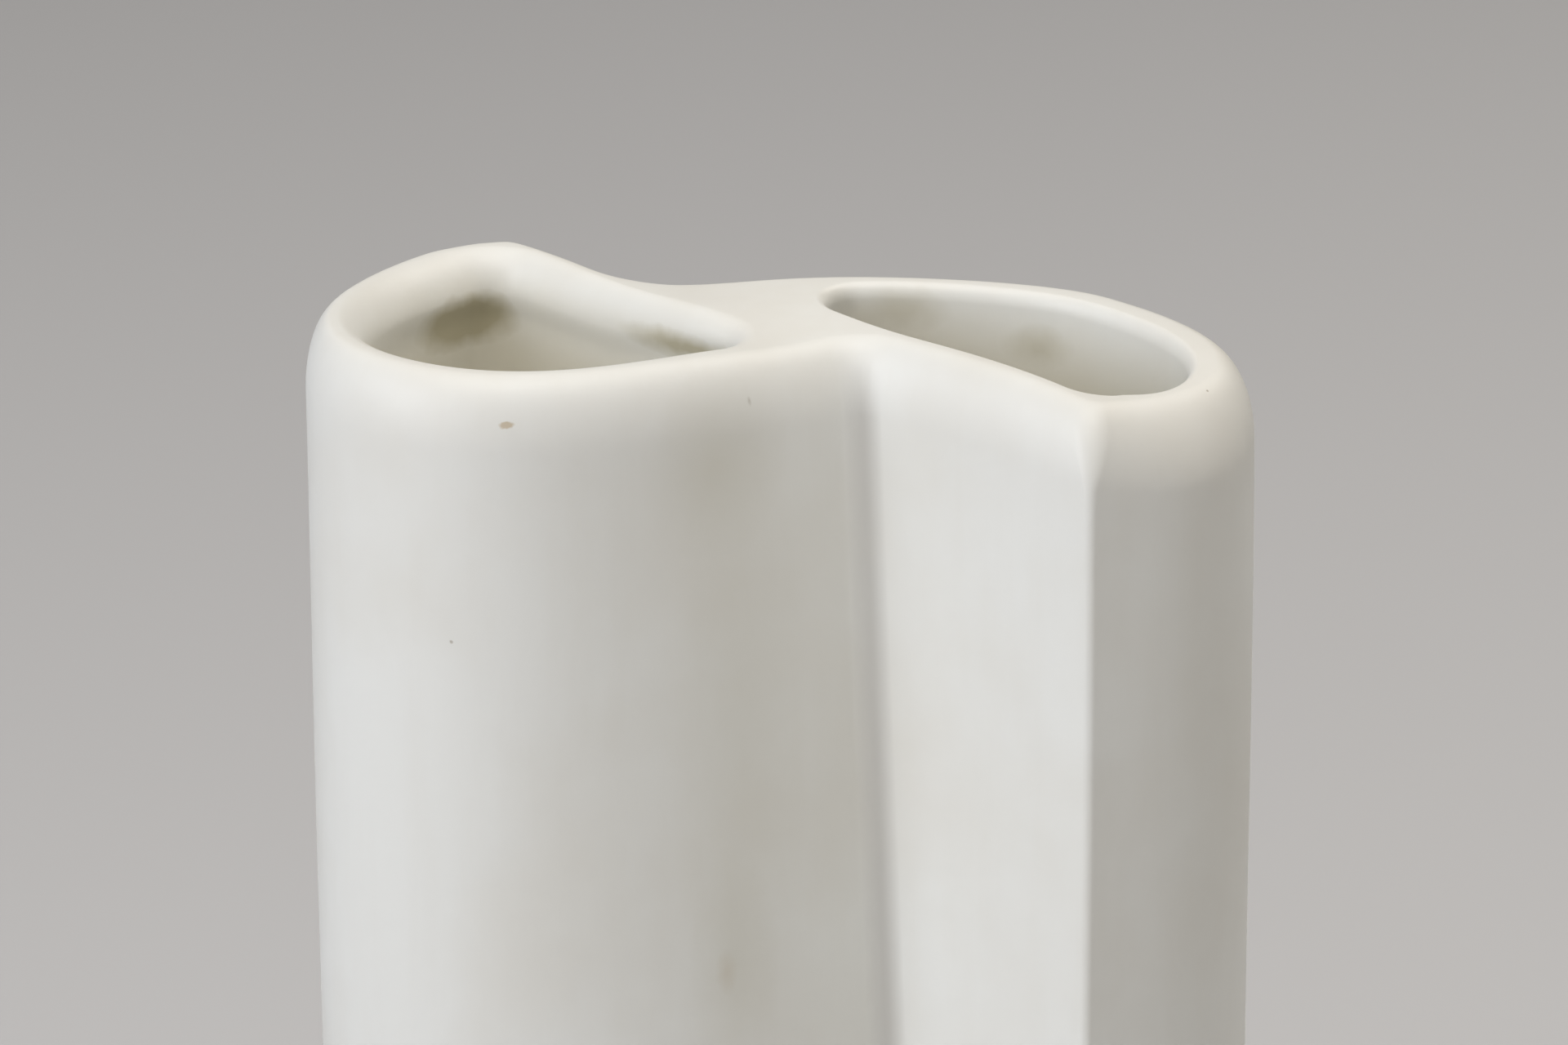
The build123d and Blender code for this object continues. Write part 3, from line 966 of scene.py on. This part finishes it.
# Heights between which the bare clay ends, in metres, and the roughness of the glaze and of the clay
BARE_LEVELS, GLAZE_ROUGHNESS, CLAY_ROUGHNESS = (0.0021, 0.0026), 0.48, 0.85
# Dimples of the clay under the glaze: size and depth in metres, and how strongly they show
DIMPLE_SIZE, DIMPLE_DEPTH, DIMPLE_STRENGTH = 0.002, 0.00012, 0.25


def glaze_material(colours, name, inside):
    """Satin white stoneware glaze, dipped and fired: a broad soft sheen on a slightly uneven milky white.

    Faint warm clouds and a fine up-and-down grain show the dip. A few specks, a chip, a scratch and a smear
    show the clay below, and the glaze is wiped back to bare clay at the foot. Painted shade darkens the
    chambers' corners, the underside of the left lip and the front crease, and inside the chambers a painted
    warm shade deepens from the rim downwards.
    """
    material = bpy.data.materials.new(name)
    material.use_nodes = True
    tree = material.node_tree
    tree.nodes.clear()
    place = add_node(tree, "ShaderNodeTexCoord", "Object")
    height = add_node(tree, "ShaderNodeSeparateXYZ", "Z", {"Vector": place})

    # Clouds a few centimetres across, and a grain drawn out upwards
    layers = []
    for size, draw, low, high, most in CLOUDING:
        drawn = add_node(
            tree, "ShaderNodeVectorMath", "Vector", {0: place, 1: (1, 1, 1 / draw)}, operation="MULTIPLY")
        noise = add_node(tree, "ShaderNodeTexNoise", "Fac", {
            "Vector": drawn, "Scale": 1 / size, "Detail": 3.0})
        share = add_node(tree, "ShaderNodeMapRange", "Result", {
            "Value": noise, "From Min": low, "From Max": high, "To Max": most})
        layers.append((share, colours.glaze_cloud))
    # Inside the chambers, painted warm shade that deepens below the rim
    if inside:
        share = add_node(tree, "ShaderNodeMapRange", "Result", {
            "Value": height, "From Min": CHAMBER_SHADE_LEVELS[0], "From Max": CHAMBER_SHADE_LEVELS[1],
            "To Max": CHAMBER_SHADE_STRENGTH})
        layers.append((share, colours.chamber_shade))

    # Marks with uneven edges, on a finer scale for the small ones
    wobbles = []
    for size in WOBBLE_SIZES:
        noise = add_node(tree, "ShaderNodeTexNoise", "Color", {
            "Vector": place, "Scale": 1 / size, "Detail": 2.0})
        wobbles.append(add_node(
            tree, "ShaderNodeVectorMath", "Vector", {0: noise, 1: (0.5, 0.5, 0.5)}, operation="SUBTRACT"))
    coarse, fine = wobbles
    for centre, half_size, core, strength, tint in MARKS:
        wobble = fine if max(half_size) < MARK_FINE else coarse
        reach = min(MARK_WOBBLE, min(half_size) / 2)
        stray = add_node(
            tree, "ShaderNodeVectorMath", "Vector", {0: wobble, 1: (2 * reach,) * 3}, operation="MULTIPLY")
        point = place
        for operation, value in (("SUBTRACT", centre), ("ADD", stray), ("DIVIDE", half_size)):
            point = add_node(
                tree, "ShaderNodeVectorMath", "Vector", {0: point, 1: value}, operation=operation)
        away = add_node(tree, "ShaderNodeVectorMath", "Value", {0: point}, operation="LENGTH")
        share = add_node(tree, "ShaderNodeMapRange", "Result", {
            "Value": away, "From Min": core, "To Min": strength, "To Max": 0.0})
        layers.append((share, getattr(colours, tint)))

    # Painted shade down the front crease, up to just below the rim
    point = add_node(tree, "ShaderNodeMapping", "Vector", {"Vector": place, "Rotation": (CREASE_SHADE_LEAN, 0, 0)})
    for operation, value in (("SUBTRACT", CREASE_SHADE_PLACE), ("MULTIPLY", (1, 1, 0))):
        point = add_node(
            tree, "ShaderNodeVectorMath", "Vector", {0: point, 1: value}, operation=operation)
    beside = add_node(tree, "ShaderNodeVectorMath", "Value", {0: point}, operation="LENGTH")
    depth = add_node(tree, "ShaderNodeMapRange", "Result", {
        "Value": height, "From Min": CREASE_SHADE_LEVELS[0], "From Max": CREASE_SHADE_LEVELS[1],
        "To Min": CREASE_SHADE_STRENGTH, "To Max": 0.0})
    share = add_node(tree, "ShaderNodeMapRange", "Result", {
        "Value": beside, "From Min": CREASE_SHADE_CORE, "From Max": CREASE_SHADE_WIDTH, "To Min": depth, "To Max": 0.0})
    layers.append((share, colours.crease_shade))

    # Bare clay from just above the foot downwards
    bare = add_node(tree, "ShaderNodeMapRange", "Result", {
        "Value": height, "From Min": BARE_LEVELS[0], "From Max": BARE_LEVELS[1],
        "To Min": 1.0, "To Max": 0.0})
    layers.append((bare, colours.clay))
    rough = add_node(tree, "ShaderNodeMapRange", "Result", {
        "Value": bare, "To Min": GLAZE_ROUGHNESS, "To Max": CLAY_ROUGHNESS})

    # Each layer lies over those before it
    colour = linear(colours.glaze)
    for share, hex_code in layers:
        colour = add_node(
            tree, "ShaderNodeMix", 2, {0: share, 6: colour, 7: linear(hex_code)}, data_type="RGBA")

    # Hand-smoothed clay under the glaze: dimples about 2 mm across and a few hundredths deep
    peel = add_node(tree, "ShaderNodeTexNoise", "Fac", {
        "Vector": place, "Scale": 1 / DIMPLE_SIZE, "Detail": 2.0})
    bump = add_node(tree, "ShaderNodeBump", "Normal", {
        "Height": peel, "Strength": DIMPLE_STRENGTH, "Distance": DIMPLE_DEPTH})
    shader = add_node(tree, "ShaderNodeBsdfPrincipled", "BSDF", {
        "Base Color": colour, "Roughness": rough, "IOR": 1.5, "Normal": bump})
    add_node(tree, "ShaderNodeOutputMaterial", None, {"Surface": shader})
    return material


def floor_material(colours):
    """Matte studio paint: an even pale floor."""
    material = bpy.data.materials.new("matte studio floor")
    material.use_nodes = True
    shader = material.node_tree.nodes["Principled BSDF"]
    shader.inputs["Base Color"].default_value = linear(colours.floor)
    shader.inputs["Roughness"].default_value = 0.9
    return material


# Operators

def shared_skin(sizes):
    """The skin that all pieces are parted from, made once."""
    return bpy.data.meshes.get("vase_skin") or skin_mesh(sizes)


def shared_glazes(colours):
    """The glaze of the outside and its copy for the chambers with painted warm shade, which all pieces wear,
    made once.
    """
    names = ("satin white stoneware glaze", "satin white glaze with painted chamber shade")
    return [
        bpy.data.materials.get(name) or glaze_material(colours, name, inside)
        for inside, name in enumerate(names)]


def make_pieces(scene, plans):
    """Part, glaze and register a group of like pieces."""
    sizes = scene.vase_sizes
    skin = shared_skin(sizes)
    glazes = shared_glazes(scene.vase_colours)
    for name, planes, nodes in plans:
        piece = part_skin(name, skin, planes, sizes)
        for glaze in glazes:
            piece.data.materials.append(glaze)
        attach(piece, "root")
        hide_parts(*nodes)


def joint_planes(sizes, side):
    """The planes of one tube: the cut, the divider's chamber face and the top of the base."""
    cut = cut_plane(sizes.joint_x, -side)
    divider = cut_plane(sizes.joint_x + side * (sizes.divider + JOINT_LIFT), -side)
    base = level_plane(sizes.base + JOINT_LIFT, -1)
    return cut, divider, base


class VASE_OT_walls(bpy.types.Operator):
    """Build the curved walls of the two tubes"""

    bl_idname = "vase.walls"
    bl_label = "Curved walls"

    def execute(self, context):
        sizes = context.scene.vase_sizes
        plans = []
        for name, side in (("left", -1), ("right", 1)):
            _, divider, base = joint_planes(sizes, side)
            plans.append((f"{name}_curved_wall", (base, divider), (f"{name}_wall",)))
        make_pieces(context.scene, plans)
        return {"FINISHED"}


class VASE_OT_dividers(bpy.types.Operator):
    """Build the two flat dividers, which meet in the luted joint"""

    bl_idname = "vase.dividers"
    bl_label = "Dividers"

    def execute(self, context):
        sizes = context.scene.vase_sizes
        plans = []
        for name, side, nodes in (
                ("left", -1, ("left_divider", "divider_slip")), ("right", 1, ("right_divider",))):
            cut, divider, base = joint_planes(sizes, side)
            planes = (base, cut, flipped(divider), crease_plane(Lobe(sizes, side)))
            plans.append((f"{name}_flat_divider", planes, nodes))
        make_pieces(context.scene, plans)
        return {"FINISHED"}


class VASE_OT_bases(bpy.types.Operator):
    """Build the two bases with their foot rings"""

    bl_idname = "vase.bases"
    bl_label = "Bases"

    def execute(self, context):
        sizes = context.scene.vase_sizes
        plans = []
        for name, side in (("left", -1), ("right", 1)):
            cut, _, base = joint_planes(sizes, side)
            planes = (flipped(base), cut, crease_plane(Lobe(sizes, side)))
            plans.append((f"{name}_footed_base", planes, (f"{name}_base",)))
        make_pieces(context.scene, plans)
        return {"FINISHED"}


class VASE_OT_creases(bpy.types.Operator):
    """Build the rolls of clay in the two creases"""

    bl_idname = "vase.creases"
    bl_label = "Crease rolls"

    def execute(self, context):
        sizes = context.scene.vase_sizes
        plans = []
        for name, side in (("front", -1), ("back", 1)):
            cut, _, _ = joint_planes(sizes, side)
            planes = (cut, flipped(crease_plane(Lobe(sizes, side))))
            plans.append((f"{name}_crease_roll", planes, (f"{name}_crease_fillet",)))
        make_pieces(context.scene, plans)
        return {"FINISHED"}


class VASE_OT_stage(bpy.types.Operator):
    """Set the floor, the camera and the studio lights"""

    bl_idname = "vase.stage"
    bl_label = "Stage"

    def execute(self, context):
        scene = context.scene
        colours = scene.vase_colours
        stage = scene.vase_stage
        mesh = bpy.data.meshes.new("studio_floor")
        corners = [(x * FLOOR_HALF, y * FLOOR_HALF, 0) for x, y in ((-1, -1), (1, -1), (1, 1), (-1, 1))]
        mesh.from_pydata(corners, [], [(0, 1, 2, 3)])
        mesh.materials.append(floor_material(colours))
        floor = bpy.data.objects.new("studio_floor", mesh)
        context.collection.objects.link(floor)

        target = Vector(stage.target)
        flat = Vector((cos(stage.azimuth), sin(stage.azimuth), 0))
        view = cos(stage.elevation) * flat - sin(stage.elevation) * Vector((0, 0, 1))
        data = bpy.data.cameras.new("photo_camera")
        data.lens = stage.lens
        data.sensor_width = 36
        data.clip_start = 0.01
        camera = bpy.data.objects.new("photo_camera", data)
        camera.location = target - view * stage.distance
        camera.rotation_euler = view.to_track_quat("-Z", "Y").to_euler()
        context.collection.objects.link(camera)
        scene.camera = camera

        right = Vector((sin(stage.azimuth), -cos(stage.azimuth), 0))
        for name, bearing, height, power, colour in LAMPS:
            level = sin(radians(bearing)) * right - cos(radians(bearing)) * flat
            way = cos(radians(height)) * level + sin(radians(height)) * Vector((0, 0, 1))
            light = bpy.data.lights.new(name, "AREA")
            light.shape = "DISK"
            light.size = stage.softbox_size
            light.energy = power
            light.color = linear(getattr(colours, colour))[:3]
            lamp = bpy.data.objects.new(name, light)
            lamp.location = target + way * stage.softbox_distance
            lamp.rotation_euler = (-way).to_track_quat("-Z", "Y").to_euler()
            context.collection.objects.link(lamp)

        world = bpy.data.worlds.new("studio_air")
        world.use_nodes = True
        world.node_tree.nodes["Background"].inputs["Color"].default_value = (1, 1, 1, 1)
        world.node_tree.nodes["Background"].inputs["Strength"].default_value = stage.air
        scene.world = world
        scene.view_settings.view_transform = "Standard"
        return {"FINISHED"}


class VASE_PT_panel(bpy.types.Panel):
    """Sizes, colours and steps of the vase."""

    bl_idname = "VASE_PT_panel"
    bl_label = "Twin-chamber vase"
    bl_space_type = "VIEW_3D"
    bl_region_type = "UI"
    bl_category = "Vase"

    def draw(self, context):
        scene = context.scene
        for group in (scene.vase_sizes, scene.vase_colours, scene.vase_stage):
            box = self.layout.box()
            for key in group.__annotations__:
                box.prop(group, key)
        for step in STEPS:
            self.layout.operator(step.bl_idname)


STEPS = (VASE_OT_walls, VASE_OT_dividers, VASE_OT_bases, VASE_OT_creases, VASE_OT_stage)
CLASSES = (VaseSizes, VaseColours, VaseStage, *STEPS, VASE_PT_panel)


def register():
    """Register the classes and hang the settings on the scene."""
    for cls in CLASSES:
        bpy.utils.register_class(cls)
    bpy.types.Scene.vase_sizes = PointerProperty(type=VaseSizes)
    bpy.types.Scene.vase_colours = PointerProperty(type=VaseColours)
    bpy.types.Scene.vase_stage = PointerProperty(type=VaseStage)


def unregister():
    """Take the settings and the classes away again."""
    del bpy.types.Scene.vase_stage
    del bpy.types.Scene.vase_colours
    del bpy.types.Scene.vase_sizes
    for cls in reversed(CLASSES):
        bpy.utils.unregister_class(cls)


def main():
    """Build the vase and its stage."""
    register()
    bpy.ops.vase.walls()
    bpy.ops.vase.dividers()
    bpy.ops.vase.bases()
    bpy.ops.vase.creases()
    bpy.ops.vase.stage()
    bpy.data.meshes.remove(bpy.data.meshes["vase_skin"])


if __name__ == "__main__":
    main()
